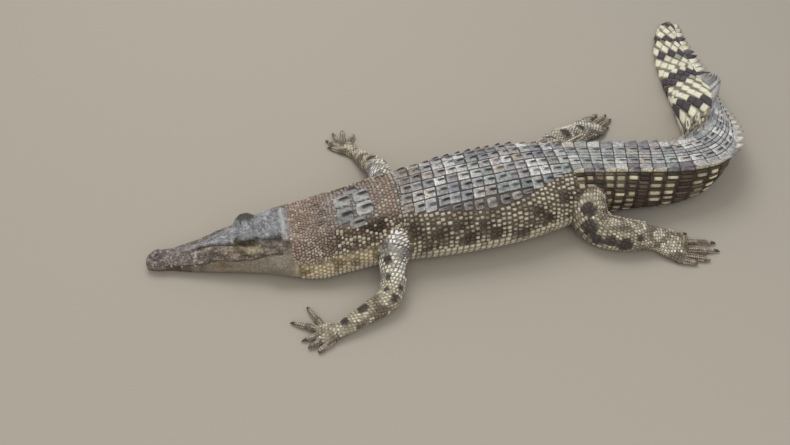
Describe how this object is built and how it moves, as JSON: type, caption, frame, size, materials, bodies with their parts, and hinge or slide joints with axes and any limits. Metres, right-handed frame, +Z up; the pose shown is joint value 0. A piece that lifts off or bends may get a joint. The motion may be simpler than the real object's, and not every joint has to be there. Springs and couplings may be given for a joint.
{
  "type": "saltwater crocodile figure",
  "caption": "Life-size still model of a young saltwater crocodile lying on its belly, legs spread, head low and the tail curled to one side.",
  "frame": {"origin": "on the floor, under the middle of the box round the whole animal", "axes": "+Z up, the animal faces -X with its left side towards -Y and the end of its tail towards +Y"},
  "size_m": [0.8886, 0.8262, 0.0976],
  "materials": {
    "hide_head": "matt grey-brown hide",
    "hide_pale": "matt pale cream hide",
    "hide_back": "matt slate-grey scaled hide",
    "hide_side": "matt brown and cream scaled hide",
    "hide_leg": "matt mottled scaled hide",
    "claw": "smooth horn",
    "eye": "wet and shiny"
  },
  "bodies": {
    "root": {"head": "hide_head", "lower_jaw": "hide_pale", "neck": "hide_side", "trunk": "hide_back", "tail_1": "hide_side", "tail_2": "hide_side", "tail_3": "hide_side", "tail_4": "hide_side", "left_eye": "eye", "right_eye": "eye", "left_fore_upper_arm": "hide_leg", "left_fore_forearm": "hide_leg", "left_fore_hand": "hide_leg", "left_fore_claw_1": "claw", "left_fore_claw_2": "claw", "left_fore_claw_3": "claw", "right_fore_upper_arm": "hide_leg", "right_fore_forearm": "hide_leg", "right_fore_hand": "hide_leg", "right_fore_claw_1": "claw", "right_fore_claw_2": "claw", "right_fore_claw_3": "claw", "left_hind_thigh": "hide_leg", "left_hind_shank": "hide_leg", "left_hind_foot": "hide_leg", "left_hind_claw_1": "claw", "left_hind_claw_2": "claw", "left_hind_claw_3": "claw", "right_hind_thigh": "hide_leg", "right_hind_shank": "hide_leg", "right_hind_foot": "hide_leg", "right_hind_claw_1": "claw", "right_hind_claw_2": "claw", "right_hind_claw_3": "claw"}
  },
  "joints": []
}
